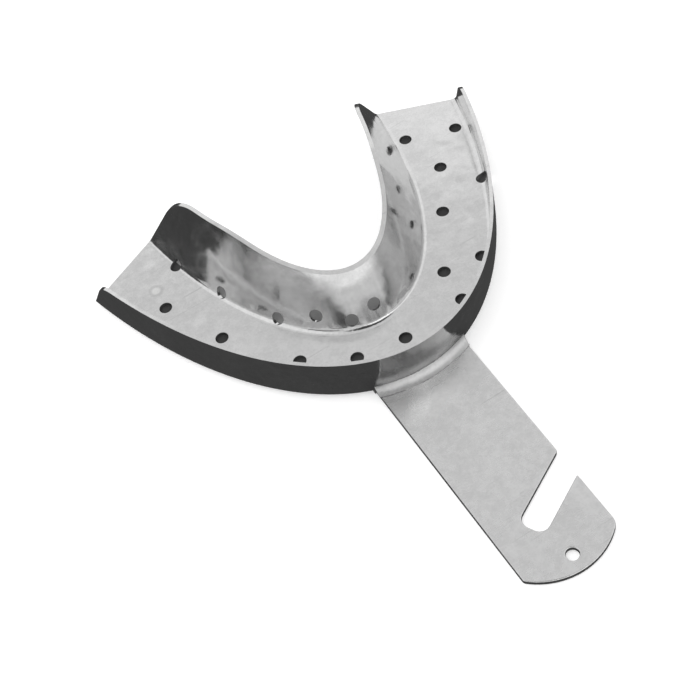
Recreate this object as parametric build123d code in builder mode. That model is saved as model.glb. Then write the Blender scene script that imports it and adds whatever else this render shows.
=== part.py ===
from build123d import *
import os
from math import atan, cos, radians, sin, sqrt, tan

# A perforated lower impression tray: a horseshoe channel pressed from one steel
# sheet, open upwards, with a flat handle brazed to the outside of its front wall.
# Millimetres. X runs across the arch, the arms open towards +Y, the handle points
# to -Y, and the flat undersides of the channel and of the handle lie on Z = 0.

os.makedirs("parts", exist_ok=True)

# ---- driving dimensions -------------------------------------------------------------
sheet = 0.7  # thickness of the pressed sheet
bend_outside = 2.0  # outer radius where each wall turns up from the floor
wall_reference = 10.0  # height above the floor at which the rim outlines are given

# Y of the front of the arch, where the outer wall meets the floor. It puts the origin
# under the middle of the whole tray. Every other length along Y is measured from it.
arch_front = -6.7

# Each wall line is a half ellipse seen from above, with its end half width, how far
# its front point and its end lie behind the front of the arch, and its half sweep.
buccal_floor = (39.9, 0.0, 50.4)  # outer wall, where it meets the floor
buccal_rim = (39.3, -1.3, 50.5)  # outer wall, at the reference height
buccal_sweep = 61.3
lingual_floor = (25.5, 13.1, 57.3)  # inner wall, where it meets the floor
lingual_rim = (21.2, 18.8, 57.7)  # inner wall, at the reference height
lingual_sweep = 75.0
arm_overrun = 5.0  # extra sweep that the arm ends are then cut from

buccal_front_height = 10.0  # rim above the floor at the front
buccal_rim_fall = 1.5  # degrees that the outer rim drops towards the arm ends
lingual_front_height = 9.3
lingual_rim_rise = 12.0  # degrees that the inner rim climbs from the front
lingual_shoulder = 36.0  # behind the front of the arch, where it stops climbing
lingual_rim_fall = 1.0  # degrees that it drops from there to the arm ends
shoulder_radius = 30.0
middle_half_width = 35.0  # ellipse along the middle of the channel
middle_front = 7.5
middle_length = 81.0

end_slant = 34.0  # degrees that the cut arm ends lean forwards from vertical
lingual_corner = 10.5  # radius of the upper corner of the inner wall at an arm end
buccal_corner = 5.5  # radius of the upper corner of the outer wall at an arm end

hole_radius = 1.2  # punched retention holes
punch_reach = 3.0  # how far the punch passes either side of the sheet

handle_width = 17.4  # at the root
handle_end_width = 16.8  # just before the rounded free end
handle_thickness = 1.0
handle_length = 44.3  # from the front of the arch to the free end
handle_skew = 0.6  # degrees off square that the handle is brazed on
handle_end_radius = 11.9
handle_small_corner = 0.8
handle_large_corner = 2.4
hanging_hole_radius = 1.05
hanging_hole_inset = 2.9  # from the free end

notch_width = 4.5
notch_angle = 28.9  # slope of the notch, down from the edge towards the free end
notch_mouth = 28.5  # from the front of the arch, along the handle's edge
notch_depth = 12.5  # along the centre line, from the edge to the notch's floor
notch_corner = 1.7
notch_lip = 0.8  # rounding of the mouth's corner nearer the tray

root_gap = 0.15  # clearance between the handle's root and the bend, filled with braze
seam_leg = 2.0  # width of the braze on the handle and its height on the wall
seam_sag = 0.35  # how far the braze's face is hollowed
seam_overhang = 0.2  # how far the braze runs past each side of the handle
seam_bite = 0.15  # how far the braze's section reaches into the wall before it is cut
seam_recess = 0.1  # the lower braze stays this far above the underside


# ---- wall geometry ------------------------------------------------------------------
def wall_rise(side):
    """Floor line and rim line of one wall."""
    return (buccal_floor, buccal_rim) if side == "buccal" else (lingual_floor, lingual_rim)


def wall_line(side, height, skin):
    """End half width, front Y and end Y of a wall face at a height above Z = 0.

    skin is 0 for the face towards the channel, or the sheet thickness for the other.
    """
    low, high = wall_rise(side)
    share = (height - sheet) / wall_reference
    half_width, front, end = (a + (b - a) * share for a, b in zip(low, high))
    lean = atan((high[1] - low[1]) / wall_reference)
    across = skin / cos(lean) * (1 if side == "buccal" else -1)
    return half_width + across, arch_front + front - across, arch_front + end


def wall_ellipse(side, height, skin):
    """Centre Y, X radius and Y radius of the half ellipse that wall_line describes."""
    half_width, front, end = wall_line(side, height, skin)
    sweep = radians(buccal_sweep if side == "buccal" else lingual_sweep)
    y_radius = (end - front) / (1 - cos(sweep))
    return front + y_radius, half_width / sin(sweep), y_radius


def wall_arc(side, height, skin, overrun):
    """The half ellipse itself, drawn past both arm ends by overrun degrees."""
    centre_y, x_radius, y_radius = wall_ellipse(side, height, skin)
    half_sweep = (buccal_sweep if side == "buccal" else lingual_sweep) + overrun
    return EllipticalCenterArc(
        (0, centre_y), x_radius, y_radius, -90 - half_sweep, arc_size=2 * half_sweep
    )


def channel_block(skin, base, top, bend, overrun):
    """Solid between the two wall faces, its two long lower edges rounded."""
    with BuildPart() as block:
        for level in (base, top):
            with BuildSketch(Plane.XY.offset(level)):
                with BuildLine():
                    outer = wall_arc("buccal", level, skin, overrun)
                    inner = wall_arc("lingual", level, skin, overrun)
                    Line(outer @ 0, inner @ 0)
                    Line(outer @ 1, inner @ 1)
                make_face()
        loft(ruled=True)
        fillet(block.edges().group_by(Axis.Z)[0].sort_by(SortBy.LENGTH)[-2:], bend)
    return block.part


def arm_end_plane(side):
    """Plane of a cut arm end through the ends of both floor lines, leaning forwards."""
    outer = Vector(side * buccal_floor[0], arch_front + buccal_floor[2], sheet)
    inner = Vector(side * lingual_floor[0], arch_front + lingual_floor[2], sheet)
    along = (outer - inner).normalized()
    level = Vector(-along.Y * side, along.X * side, 0)
    slant = radians(end_slant)
    return Plane(origin=outer, x_dir=along, z_dir=level * cos(slant) + Vector(0, 0, sin(slant)))


def wall_punch(side, angle, height, tilt):
    """Axis of a hole in one wall, leading out of the channel.

    It is turned down by tilt degrees, from square to the inner wall or from level.
    """
    centre_y, x_radius, y_radius = wall_ellipse(side, height, sheet / 2)
    turn = radians(angle)
    centre = Vector(x_radius * sin(turn), centre_y - y_radius * cos(turn), height)
    inward = Vector(-y_radius * sin(turn), x_radius * cos(turn), 0).normalized()
    out_of_channel = inward if side == "lingual" else -inward
    dip = radians(tilt) + (lingual_lean if side == "lingual" else 0)
    return Plane(origin=centre, z_dir=out_of_channel * cos(dip) - Vector(0, 0, sin(dip)))


def tip_edges(shell, side):
    """The two edges across the sheet at the upper corners of one wall's arm ends."""
    short = shell.edges().filter_by(lambda e: e.length < 2 * sheet and e.center().Z > wall_foot)
    return [e for e in short.sort_by(Axis.Y) if on_side(e.center(), side)][-2:]


def on_side(point, side):
    """Whether a point near an arm end belongs to the inner or to the outer wall."""
    return (abs(point.X) < lingual_floor[0]) == (side == "lingual")


def nearest(vertices, x, y):
    """The vertex of a flat sketch that lies closest to a place."""
    return vertices.sort_by(lambda v: (v.X - x) ** 2 + (v.Y - y) ** 2)[0]


# The pressed form, with walls higher than any rim, and the space inside it. The space
# runs out past the form at the top and at both arm ends.
form_top = 20.0
form_clearance = 1.0
tray_form = channel_block(sheet, 0.0, form_top, bend_outside, arm_overrun)
channel_top = form_top + form_clearance
channel_overrun = arm_overrun + form_clearance
channel_form = channel_block(0.0, sheet, channel_top, bend_outside - sheet, channel_overrun)

# ---- tray shell ---------------------------------------------------------------------
channel_middle = (0, arch_front + middle_front + middle_length)
blank_half = 70.0  # half the length and half the width of the flat blank
blank_end = arch_front + blank_half
lingual_lean = atan((lingual_rim[1] - lingual_floor[1]) / wall_reference)
wall_foot = 2 * bend_outside  # height by which both walls are clear of their bends

# Holes through the floor (X, distance behind the front of the arch). The punched
# pattern sits about 2.5 mm to the +X side, so the inner row lies on the floor in the
# +X arm and climbs onto the inner wall between the front and the -X arm.
outer_row = [(-30.2, 40.4), (-24.9, 27.7), (-16.2, 14.6), (-7.9, 9.0), (0.9, 7.4)]
outer_row += [(13.1, 8.3), (21.2, 14.1), (35.3, 43.7)]
inner_row = [(14.0, 15.3), (21.6, 27.3), (27.4, 36.9), (26.2, 47.4)]

# Holes through the inner wall (ellipse angle, height, tilt). The first is on its bend.
wall_holes = [(-65.6, 0.1, 36), (-51.7, 1.5, 0), (-35.0, 1.5, 0)]
wall_holes += [(-22.5, 3.3, 0), (-11.0, 2.2, 0), (-0.9, 3.5, 0)]

# The outer row's one hole on the outer wall's bend, given in the same way. The axis
# passes through the middle of the bend.
bend_hole = (45.5, -0.9, 60)

# What each rim is trimmed by: everything over its side profile, on its own side of an
# ellipse along the middle of the channel.
buccal_height = sheet + buccal_front_height
buccal_drop = 2 * blank_half * tan(radians(buccal_rim_fall))
with BuildPart() as above_buccal_rim:
    with BuildSketch():
        Rectangle(2 * blank_half, 4 * blank_half)
        with Locations(channel_middle):
            Ellipse(middle_half_width, middle_length, mode=Mode.SUBTRACT)
    extrude(amount=2 * form_top)
    with BuildSketch(Plane.YZ):
        Polygon(
            (arch_front - blank_half, buccal_height + buccal_drop / 2),
            (blank_end, buccal_height - buccal_drop / 2),
            (blank_end, 2 * form_top),
            (arch_front - blank_half, 2 * form_top),
            align=None,
        )
    extrude(amount=2 * blank_half, both=True, mode=Mode.INTERSECT)

lingual_height = sheet + lingual_front_height
lingual_front = wall_line("lingual", lingual_height, 0)[1]
climb = tan(radians(lingual_rim_rise))
foot = Vector(arch_front, lingual_height - (lingual_front - arch_front) * climb)
shoulder = foot + Vector(lingual_shoulder, lingual_shoulder * climb)
tail = shoulder.Y - (blank_end - shoulder.X) * tan(radians(lingual_rim_fall))
with BuildPart() as above_lingual_rim:
    with BuildSketch():
        with Locations(channel_middle):
            Ellipse(middle_half_width, middle_length)
    extrude(amount=2 * form_top)
    with BuildSketch(Plane.YZ) as profile:
        with BuildLine():
            Polyline(
                foot,
                shoulder,
                (blank_end, tail),
                (blank_end, 2 * form_top),
                (arch_front, 2 * form_top),
                close=True,
            )
        make_face()
        fillet(nearest(profile.vertices(), shoulder.X, shoulder.Y), shoulder_radius)
    extrude(amount=2 * blank_half, both=True, mode=Mode.INTERSECT)

with BuildPart() as tray_shell:
    add(tray_form)
    add(channel_form, mode=Mode.SUBTRACT)
    add(above_buccal_rim.part, mode=Mode.SUBTRACT)
    add(above_lingual_rim.part, mode=Mode.SUBTRACT)
    for arm in (-1, 1):
        split(bisect_by=arm_end_plane(arm), keep=Keep.BOTTOM)
    fillet(tip_edges(tray_shell, "lingual"), lingual_corner)
    fillet(tip_edges(tray_shell, "buccal"), buccal_corner)
    with Locations(*[(x, arch_front + y) for x, y in outer_row + inner_row]):
        Cylinder(hole_radius, 2 * punch_reach, mode=Mode.SUBTRACT)
    punches = [wall_punch("lingual", *hole) for hole in wall_holes]
    for punch in punches + [wall_punch("buccal", *bend_hole)]:
        with BuildSketch(punch):
            Circle(hole_radius)
        extrude(amount=punch_reach, both=True, mode=Mode.SUBTRACT)
tray_shell.part.label = "tray_shell"
export_step(tray_shell.part, "parts/tray_shell.step")

# ---- handle plate -------------------------------------------------------------------
# The handle's own plane starts at the centre of the arch's front curve, so its root is
# an arc about that centre. The root follows the front bend, and the notch slopes in
# from the +X edge.
centre_y, x_radius, y_radius = wall_ellipse("buccal", 0.0, sheet)
front_y = centre_y - y_radius
arc_centre_y = front_y + x_radius**2 / y_radius
front_turn = radians(90) + atan((buccal_rim[1] - buccal_floor[1]) / wall_reference)
bend_start = front_y + bend_outside * tan(front_turn / 2)
bend_reach = sqrt(bend_outside**2 - (bend_outside - handle_thickness) ** 2)
root_radius = arc_centre_y - (bend_start - bend_reach - root_gap)
root_half = handle_width / 2
end_half = handle_end_width / 2
root_y = -sqrt(root_radius**2 - root_half**2)
tip_y = arch_front - handle_length - arc_centre_y
end_y = tip_y + handle_end_radius - sqrt(handle_end_radius**2 - end_half**2)
mouth_y = arch_front - notch_mouth - arc_centre_y
skew = radians(handle_skew)
slope = radians(notch_angle)
handle_plane = Plane(origin=(0, arc_centre_y, 0), x_dir=(cos(skew), -sin(skew), 0), z_dir=(0, 0, 1))
notch_line = Plane(origin=(end_half, mouth_y, 0), x_dir=(-cos(slope), -sin(slope), 0))

with BuildPart() as handle_plate:
    with BuildSketch(handle_plane) as outline:
        with BuildLine():
            Line((-root_half, root_y), (-end_half, end_y))
            ThreePointArc((-end_half, end_y), (0, tip_y), (end_half, end_y))
            Line((end_half, end_y), (root_half, root_y))
            ThreePointArc((root_half, root_y), (0, -root_radius), (-root_half, root_y))
        make_face()
        with Locations((0, tip_y + hanging_hole_inset)):
            Circle(hanging_hole_radius, mode=Mode.SUBTRACT)
        with Locations(Location(notch_line)):
            Rectangle(2 * notch_depth, notch_width, mode=Mode.SUBTRACT)
        fillet(nearest(outline.vertices(), -end_half, end_y), handle_small_corner)
        fillet(nearest(outline.vertices(), end_half, end_y), handle_large_corner)
        fillet(nearest(outline.vertices(), end_half, mouth_y + notch_width / 2), notch_lip)
        for edge in (-1, 1):
            corner = notch_line.from_local_coords((notch_depth, edge * notch_width / 2))
            fillet(nearest(outline.vertices(), corner.X, corner.Y), notch_corner)
    extrude(amount=handle_thickness)
handle_plate.part.label = "handle_plate"
export_step(handle_plate.part, "parts/handle_plate.step")

# ---- braze seams --------------------------------------------------------------------
# A hollow bead lies in the corner between the handle's top face and the front wall, and
# a second one fills the groove under the bend. They meet in the gap at the handle's root.
# Both are turned about the centre of the arch's front curve, past the handle's sides,
# then cut to a strip along the handle and to fit the shell.
seam_half_sweep = 30.0
seam_start = radians(seam_half_sweep) + skew
seam_end = Plane(
    origin=(0, arc_centre_y, 0),
    x_dir=(-sin(seam_start), -cos(seam_start), 0),
    z_dir=(-cos(seam_start), sin(seam_start), 0),
)
seam_axis = Axis((0, arc_centre_y, 0), (0, 0, 1))
seam_width = handle_width + 2 * seam_overhang
behind_bend = root_radius - bend_outside
seam_top = handle_thickness + seam_leg
toe = Vector(root_radius + seam_leg, handle_thickness)
crest = Vector(arc_centre_y - wall_line("buccal", seam_top, sheet)[1] - seam_bite, seam_top)
hollow = (toe + crest) / 2 + Vector(-seam_sag, -seam_sag)

with BuildPart() as upper_braze:
    with BuildSketch(seam_end):
        with BuildLine():
            Polyline(toe, (behind_bend, handle_thickness), (behind_bend, seam_top), crest)
            ThreePointArc(crest, hollow, toe)
        make_face()
    revolve(axis=seam_axis, revolution_arc=2 * seam_half_sweep)
    with BuildSketch(handle_plane):
        Rectangle(seam_width, 3 * root_radius)
    extrude(amount=seam_top, mode=Mode.INTERSECT)
    add(tray_form, mode=Mode.SUBTRACT)
upper_braze.part.label = "upper_braze"
export_step(upper_braze.part, "parts/upper_braze.step")

with BuildPart() as lower_braze:
    with BuildSketch(seam_end):
        with BuildLine():
            Polyline(
                (root_radius, seam_recess),
                (root_radius, handle_thickness),
                (behind_bend, handle_thickness),
                (behind_bend, seam_recess),
                close=True,
            )
        make_face()
    revolve(axis=seam_axis, revolution_arc=2 * seam_half_sweep)
    with BuildSketch(handle_plane):
        Rectangle(seam_width, 3 * root_radius)
    extrude(amount=seam_top, mode=Mode.INTERSECT)
    add(tray_form, mode=Mode.SUBTRACT)
lower_braze.part.label = "lower_braze"
export_step(lower_braze.part, "parts/lower_braze.step")
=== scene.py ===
import bmesh
import bpy
import math
from mathutils import Matrix, Vector, noise
from mathutils.bvhtree import BVHTree
from mathutils.interpolate import poly_3d_calc


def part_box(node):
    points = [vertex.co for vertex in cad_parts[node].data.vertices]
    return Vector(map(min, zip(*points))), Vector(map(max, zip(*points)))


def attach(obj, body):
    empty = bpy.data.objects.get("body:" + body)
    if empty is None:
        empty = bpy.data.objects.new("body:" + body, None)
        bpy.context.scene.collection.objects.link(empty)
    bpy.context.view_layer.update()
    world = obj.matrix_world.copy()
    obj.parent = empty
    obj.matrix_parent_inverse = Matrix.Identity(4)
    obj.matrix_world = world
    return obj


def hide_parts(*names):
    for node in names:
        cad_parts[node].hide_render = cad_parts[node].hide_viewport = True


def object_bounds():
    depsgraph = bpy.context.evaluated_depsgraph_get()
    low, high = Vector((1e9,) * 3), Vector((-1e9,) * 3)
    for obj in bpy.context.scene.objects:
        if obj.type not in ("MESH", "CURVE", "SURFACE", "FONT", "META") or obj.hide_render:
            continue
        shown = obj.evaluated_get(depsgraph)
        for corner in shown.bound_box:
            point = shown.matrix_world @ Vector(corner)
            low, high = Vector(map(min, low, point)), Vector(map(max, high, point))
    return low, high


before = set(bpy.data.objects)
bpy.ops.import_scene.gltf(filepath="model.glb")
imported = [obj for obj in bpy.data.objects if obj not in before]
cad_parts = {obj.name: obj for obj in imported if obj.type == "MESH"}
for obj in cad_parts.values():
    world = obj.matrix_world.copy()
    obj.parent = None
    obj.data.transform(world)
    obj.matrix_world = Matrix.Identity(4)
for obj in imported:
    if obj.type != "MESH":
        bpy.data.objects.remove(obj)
cad_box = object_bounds()
MM = 0.001

# ---- camera -------------------------------------------------------------------------
AZIMUTH, ELEVATION, ROLL = math.radians(-16.994), math.radians(52.948), math.radians(-17.108)
TARGET = Vector((-8.495, 3.022, 2.7)) * MM
DISTANCE = 204.85 * MM
FOCAL_PIXELS = 1213.2
IMAGE_PIXELS = 700
SENSOR = 36.0  # the sensor's width, in the millimetres that a lens is given in

back = Vector(
    (
        math.sin(AZIMUTH) * math.cos(ELEVATION),
        -math.cos(AZIMUTH) * math.cos(ELEVATION),
        math.sin(ELEVATION),
    )
)
level = (-back).cross(Vector((0, 0, 1))).normalized()
upright = level.cross(-back)
right = level * math.cos(ROLL) + upright * math.sin(ROLL)
up = upright * math.cos(ROLL) - level * math.sin(ROLL)

camera_data = bpy.data.cameras.new("camera")
camera_data.sensor_width = SENSOR
camera_data.lens = FOCAL_PIXELS / IMAGE_PIXELS * SENSOR
camera_data.clip_start, camera_data.clip_end = 0.01, 40.0
camera = bpy.data.objects.new("camera", camera_data)
bpy.context.scene.collection.objects.link(camera)
turn = Matrix((right, up, back)).transposed().to_4x4()
camera.matrix_world = Matrix.Translation(TARGET + back * DISTANCE) @ turn
bpy.context.scene.camera = camera
bpy.context.scene.view_settings.view_transform = "Standard"


# ---- material helpers ---------------------------------------------------------------
def grey(value):
    """This value for red, green and blue."""
    return value, value, value


class Nodes:
    """A short way to write a node tree."""

    def __init__(self, tree):
        self.tree = tree

    def add(self, kind, inputs=(), **settings):
        node = self.tree.nodes.new(kind)
        for key, value in settings.items():
            setattr(node, key, value)
        for name, value in dict(inputs).items():
            if isinstance(value, bpy.types.NodeSocket):
                self.tree.links.new(value, node.inputs[name])
            else:
                node.inputs[name].default_value = value
        return node

    def noise(self, place, scale, detail, roughness, distortion=0.0):
        inputs = {"Vector": place, "Scale": scale, "Detail": detail, "Roughness": roughness}
        return self.add("ShaderNodeTexNoise", inputs | {"Distortion": distortion}).outputs["Fac"]

    def spread(self, value, low, high, to_low=0.0, to_high=1.0):
        """Runs smoothly from to_low at low to to_high at high."""
        node = self.add(
            "ShaderNodeMapRange",
            {"Value": value, "From Min": low, "From Max": high, "To Min": to_low, "To Max": to_high},
        )
        node.interpolation_type = "SMOOTHSTEP"
        return node.outputs["Result"]

    def maths(self, operation, first, second):
        return self.add("ShaderNodeMath", {0: first, 1: second}, operation=operation).outputs[0]

    def weighted(self, *parts):
        """The sum of some values, each times its own share."""
        total = 0.0
        for value, share in parts:
            total = self.maths("ADD", total, self.maths("MULTIPLY", value, share))
        return total

    def vectors(self, operation, *values):
        """A vector operation, whose result is a number for lengths and products."""
        node = self.add("ShaderNodeVectorMath", dict(enumerate(values)), operation=operation)
        return node.outputs["Value" if operation in ("LENGTH", "DISTANCE", "DOT_PRODUCT") else "Vector"]

    def mix(self, share, first, second):
        """The first colour, with this share of the second."""
        node = self.add("ShaderNodeMix", {0: share}, data_type="RGBA")
        for socket, value in ((node.inputs[6], first), (node.inputs[7], second)):
            if isinstance(value, bpy.types.NodeSocket):
                self.tree.links.new(value, socket)
            else:
                socket.default_value = (*value, 1.0)
        return node.outputs[2]

    def stretched(self, place, turn_z, scale):
        node = self.add("ShaderNodeMapping", {"Vector": place, "Rotation": (0, 0, turn_z), "Scale": scale})
        return node.outputs["Vector"]


def new_material(name):
    """An empty material: itself, its nodes and its shader."""
    material = bpy.data.materials.new(name)
    material.use_nodes = True
    material.node_tree.nodes.clear()
    nodes = Nodes(material.node_tree)
    shader = nodes.add("ShaderNodeBsdfPrincipled")
    nodes.add("ShaderNodeOutputMaterial", {"Surface": shader.outputs[0]})
    return material, nodes, shader


# ---- metals -------------------------------------------------------------------------
# The metal's texture, as noise scales per metre.
CLOUD_SCALE = 110.0
MOTTLE_SCALE = 700.0
SPECK_SCALE = 2600.0
SMUDGE_SCALE = 75.0
WAVE_SCALE = 150.0
BRUSH_SCALE = (300.0, 6000.0, 6000.0)  # long with the brushing and fine across it
SCRATCH_SCALE = (60.0, 2600.0, 2600.0)
SCRATCH_TURN = 0.5  # radians between the brushing and the scratches
SCRATCH_SHARE, SCRATCH_TONE = 0.35, 0.62

# The zone around the braze that its heat has dulled.
braze_low, braze_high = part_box("upper_braze")
BRAZE_MIDDLE = (braze_low + braze_high) / 2
HEAT_SQUEEZE = (1.0, 1.7, 1.7)  # the zone is longest across the handle
HEAT_REACH, HEAT_CORE, HEAT_RAGGED = 14 * MM, 9 * MM, 4 * MM
HEAT_ROUGHENS, HEAT_TONE = 0.14, 0.4

# A drop that dried on the left arm's floor.
MARK_MIDDLE = Vector((-30.0, 38.5, 0.7)) * MM
MARK_WANDER = 0.4 * MM
RING_INNER, RING_PEAK, RING_FALL, RING_OUTER = 0.9 * MM, 1.3 * MM, 1.4 * MM, 1.9 * MM
RING_SHARE, RING_TONE = 0.4, 0.7
CHALK_CORE, CHALK_REACH, CHALK_SHARE = 0.7 * MM, 1.2 * MM, 0.5
CHALK = (0.95, 0.95, 0.94)


def heat_stain(nodes, place, clouds, tone, base, rough):
    """Dulls and darkens the metal around the braze, with a ragged border."""
    offset = nodes.vectors("MULTIPLY", nodes.vectors("SUBTRACT", place, BRAZE_MIDDLE), HEAT_SQUEEZE)
    ragged = nodes.maths("MULTIPLY", clouds, HEAT_RAGGED)
    heat = nodes.spread(nodes.maths("ADD", nodes.vectors("LENGTH", offset), ragged), HEAT_REACH, HEAT_CORE)
    stain = nodes.maths("MULTIPLY", heat, nodes.spread(clouds, 0.35, 0.65, 0.5, 0.7))
    rough = nodes.maths("ADD", rough, nodes.maths("MULTIPLY", heat, HEAT_ROUGHENS))
    return nodes.mix(stain, base, grey(tone * HEAT_TONE)), rough


def water_mark(nodes, place, mottle, tone, base):
    """A dried drop: a chalky middle inside a thin darker ring."""
    wander = nodes.maths("MULTIPLY", mottle, MARK_WANDER)
    away = nodes.maths("ADD", nodes.vectors("DISTANCE", place, MARK_MIDDLE), wander)
    rise = nodes.spread(away, RING_INNER, RING_PEAK)
    ring = nodes.maths("MULTIPLY", rise, nodes.spread(away, RING_OUTER, RING_FALL))
    base = nodes.mix(nodes.maths("MULTIPLY", ring, RING_SHARE), base, grey(tone * RING_TONE))
    return nodes.mix(nodes.spread(away, CHALK_REACH, CHALK_CORE, 0.0, CHALK_SHARE), base, CHALK)


def steel(name, tone, vary, roughness, wave, grain, brush_turn, marked=False):
    """Worked stainless steel: grainy colour, smudges, fine scratches and a slightly wavy face.

    tone is the mean grey and vary how far the grain moves it either way. roughness is its
    low and high end, wave and grain are the depths of the waves and the brushing, and
    brush_turn is the brushing's angle in radians. A marked metal also has the heat stain
    around the braze and the water mark.
    """
    material, nodes, shader = new_material(name)
    link = nodes.tree.links.new
    place = nodes.add("ShaderNodeTexCoord").outputs["Object"]
    brushing = nodes.stretched(place, brush_turn, BRUSH_SCALE)
    scratching = nodes.stretched(place, brush_turn + SCRATCH_TURN, SCRATCH_SCALE)
    clouds = nodes.noise(place, CLOUD_SCALE, detail=3.0, roughness=0.5, distortion=0.6)
    mottle = nodes.noise(place, MOTTLE_SCALE, detail=4.0, roughness=0.6)
    speck = nodes.noise(place, SPECK_SCALE, detail=2.0, roughness=0.6)
    smudge = nodes.noise(place, SMUDGE_SCALE, detail=3.0, roughness=0.5, distortion=1.2)
    waves = nodes.noise(place, WAVE_SCALE, detail=2.0, roughness=0.45)
    brush = nodes.noise(brushing, 1.0, detail=3.0, roughness=0.7)
    lines = nodes.noise(scratching, 1.0, detail=1.0, roughness=0.5)

    mixed = nodes.weighted((mottle, 0.5), (speck, 0.3), (clouds, 0.2))
    light = (tone + vary, tone + vary, tone + 0.99 * vary)
    base = nodes.mix(nodes.spread(mixed, 0.36, 0.64), grey(tone - vary), light)
    scratch = nodes.maths("MULTIPLY", nodes.spread(lines, 0.70, 0.76), SCRATCH_SHARE)
    base = nodes.mix(scratch, base, grey(tone * SCRATCH_TONE))
    rough = nodes.weighted((brush, 0.4), (nodes.spread(smudge, 0.50, 0.68), 0.35), (mottle, 0.4))
    rough = nodes.spread(rough, 0.25, 0.9, *roughness)
    if marked:
        base, rough = heat_stain(nodes, place, clouds, tone, base, rough)
        base = water_mark(nodes, place, mottle, tone, base)
    link(base, shader.inputs["Base Color"])
    link(rough, shader.inputs["Roughness"])
    shader.inputs["Metallic"].default_value = 1.0

    wavy = nodes.add("ShaderNodeBump", {"Height": waves, "Distance": wave, "Strength": 1.0})
    brushed = {"Height": brush, "Distance": grain, "Strength": 1.0, "Normal": wavy.outputs[0]}
    link(nodes.add("ShaderNodeBump", brushed).outputs[0], shader.inputs["Normal"])
    return material


def shell_polished():
    look = {"tone": 0.72, "vary": 0.045, "roughness": (0.09, 0.26)}
    return steel("shell_polished", wave=0.11 * MM, grain=0.002 * MM, brush_turn=0.4, marked=True, **look)


def handle_satin():
    """Brushed along the handle."""
    look = {"tone": 0.72, "vary": 0.045, "roughness": (0.24, 0.38)}
    return steel("handle_satin", wave=0.01 * MM, grain=0.003 * MM, brush_turn=1.57, **look)


def braze_dressed():
    look = {"tone": 0.60, "vary": 0.05, "roughness": (0.42, 0.60)}
    return steel("braze_dressed", wave=0.03 * MM, grain=0.003 * MM, brush_turn=0.0, **look)


def edge_burnished():
    look = {"tone": 0.74, "vary": 0.03, "roughness": (0.22, 0.36)}
    return steel("edge_burnished", wave=0.01 * MM, grain=0.002 * MM, brush_turn=0.0, **look)


# ---- pieces -------------------------------------------------------------------------
EDGE = 1  # material index of the rounded edges
LEVEL = 0.99999  # a face whose normal is this near to vertical is level
SEAM = 0.0001 * MM  # vertices this close are one
FLAT = math.radians(0.25)  # faces that meet at less than this are one flat face
SHARP = math.radians(35)  # edges that turn by more than this are rounded
SHELL_EDGE, HANDLE_EDGE = 0.12 * MM, 0.22 * MM


def standing_for(name, mesh, slot, *materials):
    """A new piece with this mesh, in place of a CAD node."""
    mesh.materials.clear()
    for material in materials:
        mesh.materials.append(material)
    piece = bpy.data.objects.new(name + "_finished", mesh)
    bpy.context.scene.collection.objects.link(piece)
    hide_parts(name)
    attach(piece, "root")
    return piece


def baked(piece):
    """Applies a piece's modifiers and keeps only the resulting mesh."""
    graph = bpy.context.evaluated_depsgraph_get()
    mesh = bpy.data.meshes.new_from_object(piece.evaluated_get(graph))
    piece.modifiers.clear()
    piece.data = mesh


def welded(name):
    """The node's mesh with its seams closed and its flat faces merged."""
    mesh = bpy.data.meshes.new(name)
    work = bmesh.new()
    work.from_mesh(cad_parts[name].data)
    bmesh.ops.remove_doubles(work, verts=work.verts, dist=SEAM)
    bmesh.ops.dissolve_limit(work, angle_limit=FLAT, verts=work.verts, edges=work.edges)
    for face in work.faces:
        face.smooth = True
        face.material_index = 0
    work.to_mesh(mesh)
    work.free()
    return mesh


def take_normals(piece, name):
    """Shades a rounded piece by the exact surface of its CAD node.

    Each corner of a face that was there before the rounding takes the node's own normal
    at that place, or straight up or down on a level face. The rounded edges run smoothly
    from one such face to the next.
    """
    source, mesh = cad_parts[name].data, piece.data
    places = [vertex.co for vertex in source.vertices]
    surface = BVHTree.FromPolygons(places, [face.vertices for face in source.polygons])
    faces = [face for face in mesh.polygons if face.material_index != EDGE]
    exact = {}
    for vertex in {vertex for face in faces for vertex in face.vertices}:
        place = mesh.vertices[vertex].co
        under = source.polygons[surface.find_nearest(place)[2]]
        shares = poly_3d_calc([places[corner] for corner in under.vertices], place)
        corners = [source.corner_normals[loop].vector for loop in under.loop_indices]
        mean = sum((normal * share for normal, share in zip(corners, shares)), Vector())
        exact[vertex] = mean.normalized()
    for face in faces:
        if abs(face.normal.z) > LEVEL:
            vertical = Vector((0, 0, math.copysign(1, face.normal.z)))
            exact.update(dict.fromkeys(face.vertices, vertical))
    ends = [loop.vertex_index for loop in mesh.loops]
    mesh.normals_split_custom_set([exact.get(end, mesh.vertices[end].normal) for end in ends])


def rounded(name, slot, width, material, edge_material):
    """The node with every sheet edge rounded over, in the edge's own material."""
    piece = standing_for(name, welded(name), slot, material, edge_material)
    bevel = piece.modifiers.new("bevel", "BEVEL")
    bevel.limit_method = "ANGLE"
    bevel.angle_limit = SHARP
    bevel.width = width
    bevel.segments = 3
    bevel.material = EDGE
    baked(piece)
    take_normals(piece, name)


rounded("tray_shell", "shell_steel", SHELL_EDGE, shell_polished(), edge_burnished())
handle_metal = handle_satin()
rounded("handle_plate", "handle_steel", HANDLE_EDGE, handle_metal, handle_metal)

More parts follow.
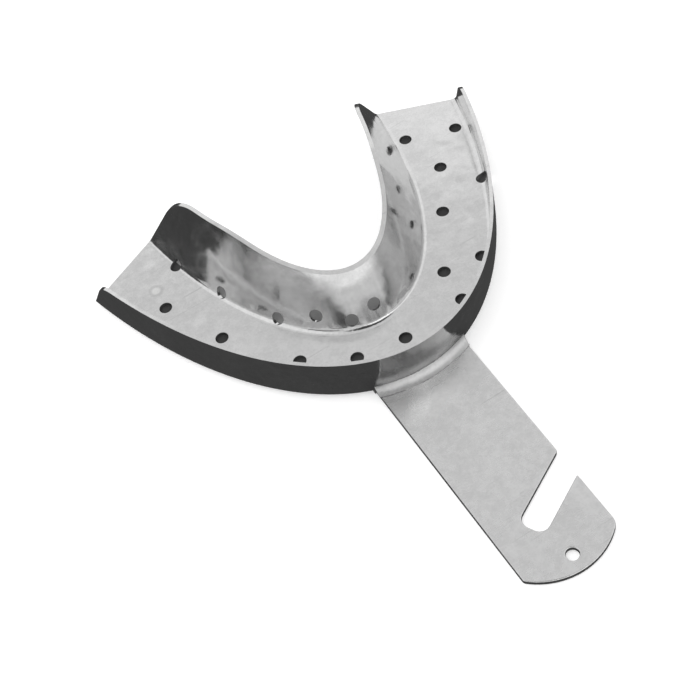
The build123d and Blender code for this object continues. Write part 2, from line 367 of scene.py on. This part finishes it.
# The braze was run in by hand: its faces swell and dip, and its toe wanders.
BEAD_GRAIN = 0.07 * MM
BEAD_SINK, BEAD_SWELL = 0.032 * MM, 0.08 * MM
BEAD_WANDER = 0.35  # swells per millimetre
braze_metal = braze_dressed()
bead = standing_for("upper_braze", welded("upper_braze"), "braze", braze_metal)
remesh = bead.modifiers.new("remesh", "REMESH")
remesh.mode = "VOXEL"
remesh.voxel_size = BEAD_GRAIN
smooth = bead.modifiers.new("smooth", "SMOOTH")
smooth.factor, smooth.iterations = 0.5, 14
baked(bead)
for vertex in bead.data.vertices:
    swell = BEAD_SWELL * noise.noise(vertex.co / MM * BEAD_WANDER)
    vertex.co -= vertex.normal * (BEAD_SINK + swell)
for face in bead.data.polygons:
    face.use_smooth = True
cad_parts["lower_braze"].material_slots[0].material = braze_metal


# ---- floor, and mats of painted shade -----------------------------------------------
def stage_sheet(name, corners, below, tone):
    """A flat matt surface that belongs to the studio, this far below the tray."""
    mesh = bpy.data.meshes.new(name)
    mesh.from_pydata([(x, y, 0) for x, y in corners], [], [range(len(corners))])
    sheet = bpy.data.objects.new(name, mesh)
    sheet.location.z = cad_box[0].z - below
    bpy.context.scene.collection.objects.link(sheet)
    material, _, shader = new_material(name)
    shader.inputs["Base Color"].default_value = (*grey(tone), 1)
    shader.inputs["Roughness"].default_value = 0.9
    mesh.materials.append(material)
    return sheet


# The floor glows a little, as a light table does, and the metal doesn't mirror it.
FLOOR_HALF, FLOOR_TONE, FLOOR_GLOW = 12.0, 0.88, 0.4
corners = [(x * FLOOR_HALF, y * FLOOR_HALF) for x, y in ((-1, -1), (1, -1), (1, 1), (-1, 1))]
floor = stage_sheet("floor", corners, 0.06 * MM, FLOOR_TONE)
floor.visible_glossy = False
floor_shader = floor.active_material.node_tree.nodes["Principled BSDF"].inputs
floor_shader["Emission Color"].default_value = (1, 1, 1, 1)
floor_shader["Emission Strength"].default_value = FLOOR_GLOW

# The mats of painted shade follow the feet of the two walls, each of them an arc of an ellipse. Sizes are
# in millimetres and turns in degrees from the front, with the right arm's turns positive.
OUTER_FRONT, OUTER_HALF_WIDTH, OUTER_LENGTH = -5.6, 44.2, 96.0
OUTER_TURN = 60
BULGE, BULGE_START, BULGE_END = 1.2, 20, 35  # further out, under the right arm's outer holes
TAB, TAB_START, TAB_END, TAB_SLOPE = 2.2, 41, 51, 3  # under the hole in the outer wall's bend
INNER_FRONT, INNER_HALF_WIDTH, INNER_LENGTH = 6.4, 26.4, 59.6
INNER_TURN = 74
TUCK = 0.6  # how far a mat stays behind the inner wall's foot
STRIP_START, STRIP_END = -70, 14
STRIP_WIDENS, STRIP_NARROWS = (-50, -30), (2, STRIP_END)
STRIP_AT_ARM, STRIP_AT_FRONT, STRIP_AT_END = 3.5, 7.5, 1.5  # how far behind the foot it reaches
MAT_STEPS = 40
# Painted shade: these greys colour the mat, which stands in for the shade under the channel, and the
# strip, which stands in for the softer shade behind the inner wall.
PAINTED_SHADE_MAT_TONE, PAINTED_SHADE_STRIP_TONE = 0.05, 0.30


def ramp(value, start, end):
    """0 before start, 1 after end and in proportion between."""
    return min(1.0, max(0.0, (value - start) / (end - start)))


def under_outer_wall(degrees):
    """Point of the mat's outer edge."""
    angle = math.radians(degrees)
    tab = ramp(degrees, TAB_START, TAB_START + TAB_SLOPE) - ramp(degrees, TAB_END - TAB_SLOPE, TAB_END)
    reach = OUTER_HALF_WIDTH + BULGE * ramp(degrees, BULGE_START, BULGE_END) + TAB * tab
    return reach * math.sin(angle) * MM, (OUTER_FRONT + OUTER_LENGTH * (1 - math.cos(angle))) * MM


def behind_inner_wall(degrees, tuck):
    """Point under the overhanging inner wall, tuck millimetres behind its foot."""
    angle = math.radians(degrees)
    return (
        (INNER_HALF_WIDTH - tuck) * math.sin(angle) * MM,
        (INNER_FRONT + tuck + (INNER_LENGTH - tuck) * (1 - math.cos(angle))) * MM,
    )


def strip_reach(degrees):
    """How far behind the inner wall's foot the strip reaches; it is widest at the front."""
    widened = (STRIP_AT_FRONT - STRIP_AT_ARM) * ramp(degrees, *STRIP_WIDENS)
    return STRIP_AT_ARM + widened + (STRIP_AT_END - STRIP_AT_FRONT) * ramp(degrees, *STRIP_NARROWS)


# A dark sheet of painted shade just under the channel, so that the punched holes look dark.
steps = [step / MAT_STEPS for step in range(MAT_STEPS + 1)]
painted_shade_mat = [under_outer_wall((2 * step - 1) * OUTER_TURN) for step in steps]
painted_shade_mat += [behind_inner_wall((1 - 2 * step) * INNER_TURN, TUCK) for step in steps]
stage_sheet("painted_shade_mat", painted_shade_mat, 0.03 * MM, PAINTED_SHADE_MAT_TONE)

# A mid grey strip of painted shade behind the inner wall, which lightens the holes in it.
turns = [STRIP_START + (STRIP_END - STRIP_START) * step for step in steps]
painted_shade_strip = [behind_inner_wall(degrees, TUCK) for degrees in turns]
painted_shade_strip += [behind_inner_wall(degrees, strip_reach(degrees)) for degrees in reversed(turns)]
stage_sheet("painted_shade_strip", painted_shade_strip, 0.04 * MM, PAINTED_SHADE_STRIP_TONE)

# ---- world and light ----------------------------------------------------------------
SKY = grey(0.74)  # the soft light that the flat faces mirror
LOW_SKY = grey(0.98)  # a brighter wall of the room, below its ceiling
HORIZON = grey(1.05)  # windows near the horizon on the handle's side, mirrored by the upright walls
TABLE = grey(0.062)  # what the walls mirror below the horizon
SKY_SLANT = -0.12  # the ceiling's edge drops towards -X

# Heights in the sky, as sines of the angle above the horizon.
CEILING_EDGE, WALL_TOP = 0.70, 0.67
WINDOW_TOP, WINDOW_FULL = 0.62, 0.30
WINDOW_FADE = (0.35, -0.15)  # the windows fade out between these two, towards +Y
TABLE_EDGE = -0.05

# Round spots of the sky, from first to last: bearing, edge and core in degrees, light.
SPOTS = (
    ((0.0, -0.45, 0.89), 25, 15, grey(0.07)),  # dark room above and behind the camera
    ((-0.72, -0.38, 0.58), 17, 9, grey(0.07)),  # dark room to its left
    ((-0.80, 0.57, 0.17), 20, 15, grey(0.07)),  # dark doorway, low beyond the left arm
    ((0.18, -0.79, 0.59), 24, 8, grey(1.5)),  # lit panel, which lifts the handle's root
    ((-0.55, 0.18, 0.81), 30, 12, grey(1.0)),  # large soft window
)

world = bpy.data.worlds.new("studio")
world.use_nodes = True
world.node_tree.nodes.clear()
sky = Nodes(world.node_tree)
direction = sky.add("ShaderNodeTexCoord").outputs["Generated"]


def near(bearing, edge, core):
    """How far a direction lies inside a round spot of the sky, from its edge to its core."""
    facing = sky.vectors("DOT_PRODUCT", direction, Vector(bearing).normalized())
    return sky.spread(facing, math.cos(math.radians(edge)), math.cos(math.radians(core)))


compass = sky.add("ShaderNodeSeparateXYZ", {"Vector": direction}).outputs
height = compass["Z"]
slanted = sky.maths("ADD", height, sky.maths("MULTIPLY", compass["X"], SKY_SLANT))
above = sky.mix(sky.spread(slanted, CEILING_EDGE, WALL_TOP), SKY, LOW_SKY)
handle_side = sky.spread(compass["Y"], *WINDOW_FADE)
windows = sky.maths("MULTIPLY", sky.spread(height, WINDOW_TOP, WINDOW_FULL), handle_side)
above = sky.mix(windows, above, HORIZON)
for bearing, edge, core, light in SPOTS:
    above = sky.mix(near(bearing, edge, core), above, light)
backdrop = sky.mix(sky.spread(height, TABLE_EDGE, 0.0), TABLE, above)
surround = sky.add("ShaderNodeBackground", {"Color": backdrop, "Strength": 1.0})
sky.add("ShaderNodeOutputWorld", {"Surface": surround.outputs[0]})
bpy.context.scene.world = world

# A square softbox above and behind the left arm, which faces the tray but isn't mirrored.
KEY_PLACE = Vector((-0.40, 0.20, 0.80))
key_data = bpy.data.lights.new("key", "AREA")
key_data.shape = "SQUARE"
key_data.size = 0.9
key_data.energy = 3.0
key = bpy.data.objects.new("key", key_data)
key.location = KEY_PLACE
key.rotation_mode = "QUATERNION"
key.rotation_quaternion = (-KEY_PLACE).to_track_quat("-Z", "Y")
key.visible_glossy = False
bpy.context.scene.collection.objects.link(key)
